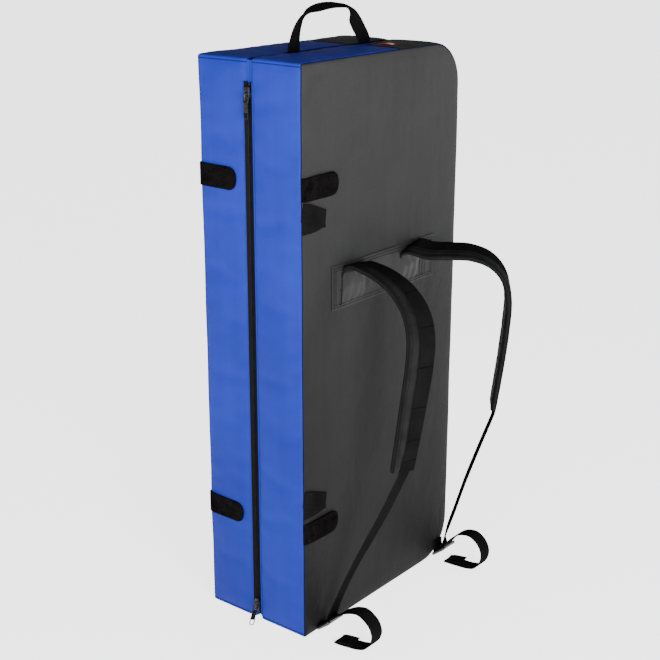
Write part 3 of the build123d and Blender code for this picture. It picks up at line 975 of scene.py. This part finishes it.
class MESH_OT_kick_shield_closures(bpy.types.Operator):
    """Build the hook tabs and the folded webbing loops"""

    bl_idname = "mesh.kick_shield_closures"
    bl_label = "Tabs and Loops"

    def execute(self, context):
        size = sizes()
        low, high = slab_limits(1)
        face_x, front_y = high.x, low.y
        for place in PLACES:
            tab_low, tab_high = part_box(f"right_{place}_tab")
            z = (tab_low.z + tab_high.z) / 2
            z -= 0.0015
            path = [(face_x - 0.0025, front_y + 0.0012, z), (face_x - 0.0002, front_y + 0.0026, z),
                    (face_x + 0.0014, front_y + 0.0058, z), (face_x + 0.0024, front_y + 0.012, z),
                    (face_x + 0.0046, front_y + 0.030, z + 0.001), (face_x + 0.0052, front_y + 0.060, z + 0.001),
                    (face_x + 0.0036, tab_high.y, z + 0.002)]
            roots = ("right_tab_roots",)
            build_tab(f"right_{place}_tab", path, "right_slab", f"right_{place}_tab",
                      f"right_{place}_tab_fold", (f"right_{place}_tab",) + roots, Vector((0, 1, 0)))
            z += 0.0015
            tab_low, tab_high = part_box(f"left_{place}_tab")
            path = [(-face_x - 0.0014, front_y + 0.030, z), (-face_x - 0.0016, front_y + 0.012, z),
                    (-face_x - 0.0010, front_y + 0.001, z), (-face_x + 0.004, front_y - 0.0022, z),
                    (-face_x + 0.030, front_y - 0.0044, z), (-face_x + 0.060, front_y - 0.0044, z),
                    (tab_high.x, front_y - 0.0040, z - 0.001)]
            build_tab(f"left_{place}_tab", path, "left_slab", f"left_{place}_tab",
                      f"left_{place}_tab_fold", (f"left_{place}_tab", "left_tab_roots"), Vector((1, 0, 0)))
            for name, side in SIDES.items():
                low_loop, high_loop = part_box(f"right_{place}_loop")
                root_z = high_loop.z - size.webbing_width / 2
                fold_z = low_loop.z + size.webbing_width / 2 + 0.004
                x = side * (face_x + 0.0012)
                step = side * 0.0012
                width, lower = (-0.16 * side, 0.26, 0.97), (0, -0.06, 1)
                start_y = front_y + (0.0008 if side > 0 else 0.010)
                path = [((x - 1.6 * step, start_y, root_z - 0.023), (0, 0, 1)),
                        ((x + step, front_y + 0.030, root_z - 0.021), lower),
                        ((x + step, high_loop.y - 0.004, fold_z + 0.0015), (0, 0.02, 1)),
                        ((x + 1.6 * step, high_loop.y, fold_z + 0.0015), (0, 0.10, 1)),
                        ((x + 2.6 * step, high_loop.y - 0.004, fold_z + 0.002), (0, 0.20, 0.98)),
                        ((x + 3.2 * step, front_y + 0.030, root_z - 0.008), width),
                        ((x + 2.6 * step, front_y + 0.012, root_z - 0.002), (0, 0.12, 1)),
                        ((x - 1.0 * step, start_y - 0.0003, root_z), (0, 0.0, 1))]
                bm = bmesh.new()
                sweep(bm, flat_section(size.webbing_width, size.webbing_thickness, 8), lay_frames(path, 72))
                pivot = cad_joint(f"{name}_{place}_loop_lift")
                finish_piece(f"{name}_{place}_loop_webbing", bm, "webbing", None,
                             (f"{name}_{place}_loop",),
                             bend=(f"{name}_slab", f"{name}_{place}_loop", pivot - Vector((0, 0.003, 0)),
                                   pivot + Vector((0, 0.008, 0))))
        return {"FINISHED"}


# ---------------------------------------------------------------- shoulder straps
STRAP_ROUTES = {
    # outward, down the chord, turn about the chord in degrees, extra twist of the band in degrees
    "front": {
        "root": (-0.092, 0.650), "foot": (-0.170, 0.010),
        "pad": ((0.0026, 0.036, 0, 0), (0.0034, 0.018, 0, 0), (0.0070, 0.001, 0, 0), (0.0180, -0.006, 0, 0),
                (0.040, -0.003, 0, 0), (0.070, 0.005, 0, -3), (0.106, 0.023, 0, -6), (0.136, 0.054, 0, -9),
                (0.150, 0.092, 0, -10), (0.1515, 0.140, 0, -10), (0.146, 0.200, 0, -8),
                (0.1390, 0.265, 0, -4), (0.1315, 0.327, 0, 0)),
        "web": ((0.1405, 0.296, 0, 0), (0.1372, 0.326, 0, 0), (0.124, 0.358, 0, 0), (0.106, 0.400, 0, 0),
                (0.076, 0.462, 0, 2), (0.043, 0.530, 0, 8), (0.018, 0.590, 0, 8), (0.0065, 0.622, 0, 2),
                (0.004, 0.634, 0, 0)),
    },
    "rear": {
        "root": (0.066, 0.652), "foot": (0.188, 0.010),
        "pad": ((0.0026, 0.036, 2, 0), (0.0034, 0.018, 2, 0), (0.0070, 0.001, 4, 0), (0.0190, -0.004, 8, 0),
                (0.044, 0.004, 17, 0), (0.078, 0.010, 26, 0), (0.112, 0.019, 32, 0), (0.144, 0.039, 35, 0),
                (0.165, 0.072, 36, 0), (0.170, 0.116, 36, 0), (0.161, 0.176, 36, 0), (0.146, 0.245, 35, 0),
                (0.1245, 0.334, 34, 0)),
        "web": ((0.1350, 0.304, 33, 0), (0.1300, 0.334, 33, 0), (0.1200, 0.358, 32, 0), (0.1020, 0.396, 31, 1),
                (0.062, 0.484, 28, 5), (0.034, 0.553, 22, 11), (0.014, 0.602, 12, 18), (0.006, 0.626, 4, 16),
                (0.003, 0.640, 0, 0)),
    },
}


BAND_SHIFT = {"front": 0.0090, "rear": 0.0065}


def strap_stations(name, part):
    """Stations of one strap route, turned from its own plane into the frame."""
    route = STRAP_ROUTES[name]
    face_x = slab_limits(1)[1].x
    root = Vector((face_x, *route["root"]))
    foot = Vector((face_x + 0.015, *route["foot"]))
    chord = (foot - root).normalized()
    stations = []
    for out, down, turn, twist in route[part]:
        angle = math.radians(turn)
        outward = Vector((math.cos(angle), math.sin(angle), 0))
        outward = (outward - chord * outward.dot(chord)).normalized()
        facing = Matrix.Rotation(math.radians(twist), 3, "Z") @ outward
        stations.append((root + outward * out + chord * down, facing.cross(chord)))
    return stations


def pad_section(width, outer):
    """Half of the pad's section: the crowned outer side or the flat inner side."""
    half = width / 2
    profile = ((-1.0, 0.0), (-0.985, 0.42), (-0.93, 0.62), (-0.87, 0.66), (-0.82, 0.58), (-0.75, 0.84),
               (-0.64, 1.0), (-0.50, 1.0), (-0.38, 0.88), (-0.2, 0.90), (0.0, 0.92))
    profile = profile + tuple((-x, y) for x, y in reversed(profile[:-1]))
    rise = 0.0062 if outer else -0.0056
    top = [(x * half, y * rise) for x, y in profile]
    return top if outer else [(x, y) for x, y in reversed(top)]


def end_rounding(frames, radius, near_end=True):
    """Narrows and thins the last stretch of a pad into a round tongue."""
    length = frames[-1][1]
    rounded = []
    for matrix, distance in frames:
        left = length - distance
        scale = 1.0
        if left < radius:
            scale = 0.35 + 0.65 * math.sqrt(max(0.0, 1 - (1 - left / radius) ** 2))
        thin = min(1.0, 0.25 + 0.75 * distance / 0.075)
        tuck = Matrix.Translation((0, -0.0034 * (1 - scale), 0))
        rounded.append((matrix @ tuck @ Matrix.Diagonal((0.55 + 0.45 * scale, scale * thin, 1, 1)), distance))
    return rounded


def pucker(verts, bm, strength, seed):
    """Gathers along the edges of a sewn ply."""
    along = bm.verts.layers.float["along"]
    across = bm.verts.layers.float["across"]
    for vert in verts:
        edge = min(1.0, abs(vert[across]) / (sizes().pad_width / 2))
        wave = noise.noise(Vector((vert[along] * 85, vert[across] * 25, seed)))
        wave += 0.5 * math.sin(vert[along] * 420 + seed + 3 * noise.noise(Vector((vert[along] * 20, seed, 0))))
        vert.co += vert.normal * wave * strength * edge ** 2


def build_strap(name, body):
    size = sizes()
    pivot = Vector((slab_limits(1)[1].x, *STRAP_ROUTES[name]["root"]))
    bend = ("right_slab", body, pivot + Vector((0.004, 0, 0)), pivot + Vector((0.055, 0, 0)))
    frames = end_rounding(lay_frames(strap_stations(name, "pad"), 170), 0.014)

    bm = bmesh.new()
    verts = sweep(bm, pad_section(size.pad_width - 0.003, True), frames)
    bmesh.ops.recalc_face_normals(bm, faces=bm.faces)
    bm.normal_update()
    pucker(verts, bm, 0.00035, 2.0)
    cover = finish_piece(f"strap_{name}_cover", bm, "pad_cover", None,
                         (f"strap_{name}_outer", f"strap_{name}_foam"), bend=bend, smooth_angle=60)

    bm = bmesh.new()
    verts = sweep(bm, pad_section(size.pad_width - 0.003, False), frames)
    bmesh.ops.recalc_face_normals(bm, faces=bm.faces)
    bm.normal_update()
    pucker(verts, bm, 0.0011, 7.0)
    lining = finish_piece(f"strap_{name}_inner", bm, "pad_lining", None,
                          (f"strap_{name}_lining",), bend=bend, smooth_angle=60)

    bm = bmesh.new()
    for edge in (-1, 1):
        middle = edge * (size.pad_width / 2 - 0.0022)
        section = [(middle + 0.0022 * math.cos(a), 0.0042 * math.sin(a)) for a in
                   [i * math.pi / 5 for i in range(10)]]
        sweep(bm, section, frames[:-1])
    finish_piece(f"strap_{name}_edge_binding", bm, "binding", None,
                 (f"strap_{name}_binding",), bend=bend, smooth_angle=60)

    top = 0.0062 * 0.95
    plain = lay_frames(strap_stations(name, "pad"), 170)
    lifted = []
    for matrix, distance in plain:
        thin = min(1.0, 0.25 + 0.75 * distance / 0.075)
        lifted.append((matrix @ Matrix.Translation((BAND_SHIFT[name], top * thin, 0)), distance))
    bm = bmesh.new()
    sweep(bm, flat_section(size.band_width, size.webbing_thickness, 10), lifted[6:])
    finish_piece(f"strap_{name}_sewn_webbing", bm, "webbing", None,
                 (f"strap_{name}_pad_webbing",), bend=bend)

    bm = bmesh.new()
    web_frames = lay_frames(strap_stations(name, "web"), 120)
    sweep(bm, flat_section(size.webbing_width, size.webbing_thickness, 8), web_frames)
    finish_piece(f"strap_{name}_adjusting_webbing", bm, "webbing", None,
                 (f"strap_{name}_lower_webbing",), bend=bend)

    bm = bmesh.new()
    above = size.webbing_thickness / 2 + 0.0001
    for edge in (-1, 1):
        stitch_line(bm, lifted[16:-2], edge * (size.band_width / 2 - 0.0022), above, size.stitch_pitch)
        stitch_line(bm, frames[30:-10], edge * (size.pad_width / 2 - 0.0062), 0.0054, size.stitch_pitch)
        stitch_line(bm, frames[30:-10], edge * (size.pad_width / 2 - 0.0062), -0.0050, size.stitch_pitch)
    for share in (0.30, 0.42, 0.55, 0.68, 0.80, 0.90, 0.97):
        index = int(share * (len(lifted) - 1))
        bar_tack(bm, lifted[index][0], size.band_width - 0.004, above)
    finish_piece(f"strap_{name}_stitching", bm, "thread", None, bend=bend)


def patch_height(y, z):
    """How far the patch stands off the broad face, over the strap roots sewn under it."""
    total = 0.0
    for name in STRAP_ROUTES:
        root_y = STRAP_ROUTES[name]["root"][0]
        side = max(0.0, 1 - (abs(y - root_y) / 0.037) ** 4)
        rise = min(1.0, max(0.0, (z - 0.582) / 0.042))
        ripples = 0.0009 * math.sin(y * 330 + 2.2 * math.sin(z * 90)) * (1 - 0.4 * rise)
        total += side * (rise * (0.0040 + 0.0040 * rise) + ripples)
    total += 0.0010 * noise.noise(Vector((y * 55, z * 55, 3)))
    return total


class MESH_OT_kick_shield_straps(bpy.types.Operator):
    """Build the yoke patch and the two padded shoulder straps"""

    bl_idname = "mesh.kick_shield_straps"
    bl_label = "Shoulder Straps"

    def execute(self, context):
        low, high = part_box("yoke_patch")
        bm = bmesh.new()
        turn = Matrix.Rotation(math.radians(90), 4, "Y")
        spread = Matrix.Diagonal((high.z - low.z, high.y - low.y, 1, 1))
        place = Matrix.Translation((low.x, (low.y + high.y) / 2, (low.z + high.z) / 2))
        bmesh.ops.create_grid(bm, x_segments=22, y_segments=84, size=0.5, matrix=place @ turn @ spread)
        for vert in bm.verts:
            edge = min(vert.co.y - low.y, high.y - vert.co.y, vert.co.z - low.z, high.z - vert.co.z)
            hold = min(1.0, max(0.0, edge / 0.014))
            vert.co.x += patch_height(vert.co.y, vert.co.z) * hold + 0.0020
        bmesh.ops.recalc_face_normals(bm, faces=bm.faces)
        if bm.faces[0].normal.x < 0:
            bmesh.ops.reverse_faces(bm, faces=bm.faces)
        bmesh.ops.solidify(bm, geom=bm.faces, thickness=0.0011)
        finish_piece("yoke_patch_fabric", bm, "patch", "right_slab",
                     ("yoke_patch", "strap_roots"), smooth_angle=60)
        build_patch_stitches(low, high)
        for name in STRAP_ROUTES:
            build_strap(name, f"strap_{name}")
        return {"FINISHED"}


def build_patch_stitches(low, high):
    """Double row of stitches round the patch and short rows beside each strap."""
    bm = bmesh.new()
    pitch = sizes().stitch_pitch

    def row(start, end):
        stations = []
        for i in range(9):
            y = start[0] + (end[0] - start[0]) * i / 8
            z = start[1] + (end[1] - start[1]) * i / 8
            edge = min(y - low.y, high.y - y, z - low.z, high.z - z)
            hold = min(1.0, max(0.0, edge / 0.014))
            stations.append(((low.x + 0.0030 + patch_height(y, z) * hold, y, z), (1, 0, 0)))
        stitch_line(bm, lay_frames(stations, 40), 0, 0, pitch, 0.0036, 0.0006)

    for inset in (0.004, 0.009):
        y0, y1, z0, z1 = low.y + inset, high.y - inset, low.z + inset, high.z - inset
        row((y0, z0), (y1, z0))
        row((y0, z1), (y1, z1))
        row((y0, z0), (y0, z1))
        row((y1, z0), (y1, z1))
    for y in (-0.1252, -0.1240, 0.104, 0.112, 0.120):
        row((y, low.z + 0.008), (y, high.z - 0.012))
    finish_piece("yoke_patch_stitches", bm, "thread", "right_slab")


# ---------------------------------------------------------------- buckles and tails
BUCKLE_TILT = 38


def build_buckle(name):
    """Ladder-lock buckle: two cheeks, three bars and a thumb lip."""
    low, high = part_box(f"buckle_{name}")
    middle = (low + high) / 2
    bm = bmesh.new()
    for side in (-1, 1):
        rounded_box(bm, (-0.0163, side * 0.0184 - 0.0025, -0.0028), (0.0150, side * 0.0184 + 0.0025, 0.0032),
                    0.0020, 3)
    for x, thick, lift in ((-0.0142, 0.0026, 0), (-0.0052, 0.0021, 0.0014), (0.0046, 0.0021, -0.0004),
                           (0.0136, 0.0028, 0.0006)):
        turn = Matrix.Translation((x, 0, lift)) @ Matrix.Rotation(math.radians(90), 4, "X")
        bmesh.ops.create_cone(bm, cap_ends=True, segments=14, radius1=thick, radius2=thick, depth=0.040,
                              matrix=turn)
    rounded_box(bm, (0.0130, -0.0150, 0.0004), (0.0180, 0.0150, 0.0044), 0.0014, 3)
    for i in range(7):
        y = -0.0105 + i * 0.0035
        rounded_box(bm, (0.0132, y - 0.0008, 0.0036), (0.0176, y + 0.0008, 0.0052), 0.0005, 1)
    turn = Matrix.Rotation(math.radians(-BUCKLE_TILT), 4, "Y")
    bmesh.ops.transform(bm, matrix=Matrix.Translation(middle) @ turn, verts=bm.verts)
    finish_piece(f"buckle_{name}_ladder_lock", bm, "buckle", f"buckle_{name}",
                 (f"buckle_{name}",))
    return middle


TAIL_ROUTES = {
    # x from the broad face outward, shift along the depth, height, width direction
    "front": ((0.124, 0.000, 0.0185), (0.133, 0.000, 0.0250), (0.143, 0.000, 0.0330), (0.158, 0.001, 0.0460),
              (0.177, 0.002, 0.0565), (0.197, 0.002, 0.0610), (0.215, 0.000, 0.0555), (0.227, -0.002, 0.0470),
              (0.2335, -0.004, 0.0330), (0.230, -0.006, 0.0180), (0.219, -0.008, 0.0065), (0.204, -0.010, 0.0022),
              (0.186, -0.013, 0.0016), (0.168, -0.016, 0.0018), (0.1615, -0.017, 0.0032), (0.166, -0.0165, 0.0056),
              (0.180, -0.014, 0.0066), (0.194, -0.012, 0.0070)),
    "rear": ((0.124, 0.000, 0.0185), (0.133, 0.000, 0.0260), (0.142, 0.000, 0.0370), (0.154, 0.001, 0.0520),
             (0.171, 0.002, 0.0640), (0.192, 0.002, 0.0680), (0.208, 0.001, 0.0620), (0.219, 0.000, 0.0500),
             (0.2235, -0.001, 0.0350), (0.219, -0.002, 0.0180), (0.208, -0.003, 0.0060), (0.193, -0.004, 0.0020),
             (0.173, -0.006, 0.0016), (0.150, -0.008, 0.0018), (0.1445, -0.009, 0.0034), (0.150, -0.0085, 0.0060),
             (0.164, -0.006, 0.0072), (0.178, -0.004, 0.0080)),
}


class MESH_OT_kick_shield_buckles(bpy.types.Operator):
    """Build the ladder-lock buckles, their anchor webbing and the free webbing tails"""

    bl_idname = "mesh.kick_shield_buckles"
    bl_label = "Buckles and Tails"

    def execute(self, context):
        size = sizes()
        face_x = slab_limits(1)[1].x
        anchors = []
        for name, route in TAIL_ROUTES.items():
            middle = build_buckle(name)
            bm = bmesh.new()
            stations = [((x, middle.y + shift, z), (0, 1, 0.0)) for x, shift, z in route]
            frames = lay_frames(stations, 170)
            sweep(bm, flat_section(size.webbing_width, size.webbing_thickness, 8), frames)
            end = frames[-10][0]
            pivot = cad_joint(f"tail_{name}_turn")
            finish_piece(f"tail_{name}_webbing", bm, "webbing", None, (f"tail_{name}",),
                         bend=(f"buckle_{name}", f"tail_{name}", pivot - Vector((0.002, 0, 0)),
                               pivot + Vector((0.012, 0, 0))))
            bm = bmesh.new()
            bar_tack(bm, end, size.webbing_width - 0.005, size.webbing_thickness / 2)
            finish_piece(f"tail_{name}_stitches", bm, "thread", f"tail_{name}")
            bar = Vector((middle.x - 0.0115, middle.y, middle.z - 0.0090))
            anchors.append((bar, 0.0 if name == "front" else 0.024))
        bm = bmesh.new()
        for bar, rise in anchors:
            path = [((face_x - 0.0030 + rise * 0.18, bar.y, 0.0032 + rise * 1.1), (0, 1, 0)),
                    ((face_x + 0.0016, bar.y, 0.0036 + rise * 0.7), (0, 1, 0)),
                    ((bar.x - 0.0010, bar.y, bar.z - 0.0030), (0, 1, 0)),
                    ((bar.x + 0.0034, bar.y, bar.z + 0.0002), (0, 1, 0)),
                    ((bar.x - 0.0004, bar.y, bar.z + 0.0032), (0, 1, 0)),
                    ((face_x + 0.0028, bar.y, 0.0066 + rise * 0.75), (0, 1, 0)),
                    ((face_x - 0.0020 + rise * 0.18, bar.y, 0.0058 + rise * 1.1), (0, 1, 0))]
            sweep(bm, flat_section(size.webbing_width - 0.002, size.webbing_thickness * 0.8, 8),
                  lay_frames(path, 70))
        finish_piece("buckle_anchor_webbing", bm, "webbing", "right_slab", ("buckle_anchors",))
        return {"FINISHED"}


# ---------------------------------------------------------------- stage
VIEW_AZIMUTH = 38.8
VIEW_ELEVATION = 18.2
CAMERA_PLACE = (1.4195, -1.7777, 1.2408)
CAMERA_LENS = 71.83


class SCENE_OT_kick_shield_stage(bpy.types.Operator):
    """Set up the pale floor, the soft studio lights and the camera"""

    bl_idname = "scene.kick_shield_stage"
    bl_label = "Stage"

    def execute(self, context):
        scene = context.scene
        azimuth, elevation = math.radians(VIEW_AZIMUTH), math.radians(VIEW_ELEVATION)
        back = Vector((math.sin(azimuth) * math.cos(elevation), -math.cos(azimuth) * math.cos(elevation),
                       math.sin(elevation)))
        data = bpy.data.cameras.new("camera")
        data.lens = CAMERA_LENS
        data.sensor_width = 36
        camera = bpy.data.objects.new("camera", data)
        camera.location = CAMERA_PLACE
        camera.rotation_mode = "QUATERNION"
        camera.rotation_quaternion = (-back).to_track_quat("-Z", "Y")
        scene.collection.objects.link(camera)
        scene.camera = camera

        world = bpy.data.worlds.new("studio")
        world.use_nodes = True
        world.node_tree.nodes["Background"].inputs["Color"].default_value = (0.97, 0.985, 1.0, 1)
        world.node_tree.nodes["Background"].inputs["Strength"].default_value = 0.36
        scene.world = world

        lamps = (("key", (2.9, -1.7, 0.95), 170, 1.3), ("front_fill", (-0.2, -3.4, 0.72), 110, 1.8),
                 ("side_fill", (3.4, 1.4, 0.9), 60, 1.8))
        for name, place, power, width in lamps:
            lamp = bpy.data.lights.new(name, "AREA")
            lamp.energy = power
            lamp.size = width
            light = bpy.data.objects.new(name, lamp)
            light.location = place
            light.rotation_mode = "QUATERNION"
            light.rotation_quaternion = (Vector((0, 0, 0.6)) - Vector(place)).to_track_quat("-Z", "Y")
            scene.collection.objects.link(light)

        pale, tree, shader = new_material("studio_white", 0.8)
        shader.inputs["Base Color"].default_value = (0.8, 0.8, 0.8, 1)
        shader.inputs["Emission Color"].default_value = (1, 1, 1, 1)
        shader.inputs["Emission Strength"].default_value = 2.6
        for name, reach in (("floor", 60.0),):
            bm = bmesh.new()
            bmesh.ops.create_grid(bm, x_segments=1, y_segments=1, size=reach)
            mesh = bpy.data.meshes.new(name)
            bm.to_mesh(mesh)
            bm.free()
            mesh.materials.append(pale)
            plane = bpy.data.objects.new(name, mesh)
            scene.collection.objects.link(plane)
        return {"FINISHED"}


class VIEW3D_PT_kick_shield(bpy.types.Panel):
    """Lists the pieces of the kick shield"""

    bl_label = "Kick Shield"
    bl_idname = "VIEW3D_PT_kick_shield"
    bl_space_type = "VIEW_3D"
    bl_region_type = "UI"
    bl_category = "Kick Shield"

    def draw(self, context):
        for operator in OPERATORS:
            self.layout.operator(operator.bl_idname)
        for group in (context.scene.kick_shield_sizes, context.scene.kick_shield_colours):
            for key in group.bl_rna.properties.keys():
                if key not in ("rna_type", "name"):
                    self.layout.prop(group, key)


OPERATORS = (SCENE_OT_kick_shield_stage, MESH_OT_kick_shield_covers, MESH_OT_kick_shield_fold_web,
             MESH_OT_kick_shield_zip, MESH_OT_kick_shield_handle, MESH_OT_kick_shield_closures,
             MESH_OT_kick_shield_straps, MESH_OT_kick_shield_buckles)
CLASSES = (KickShieldSizes, KickShieldColours) + OPERATORS + (VIEW3D_PT_kick_shield,)


def register():
    for entry in CLASSES:
        bpy.utils.register_class(entry)
    bpy.types.Scene.kick_shield_sizes = PointerProperty(type=KickShieldSizes)
    bpy.types.Scene.kick_shield_colours = PointerProperty(type=KickShieldColours)


def unregister():
    del bpy.types.Scene.kick_shield_sizes
    del bpy.types.Scene.kick_shield_colours
    for entry in reversed(CLASSES):
        bpy.utils.unregister_class(entry)


def main():
    register()
    bpy.ops.scene.kick_shield_stage()
    bpy.ops.mesh.kick_shield_covers()
    bpy.ops.mesh.kick_shield_fold_web()
    bpy.ops.mesh.kick_shield_zip()
    bpy.ops.mesh.kick_shield_handle()
    bpy.ops.mesh.kick_shield_closures()
    bpy.ops.mesh.kick_shield_straps()
    bpy.ops.mesh.kick_shield_buckles()
    bpy.context.view_layer.update()


if __name__ == "__main__":
    main()
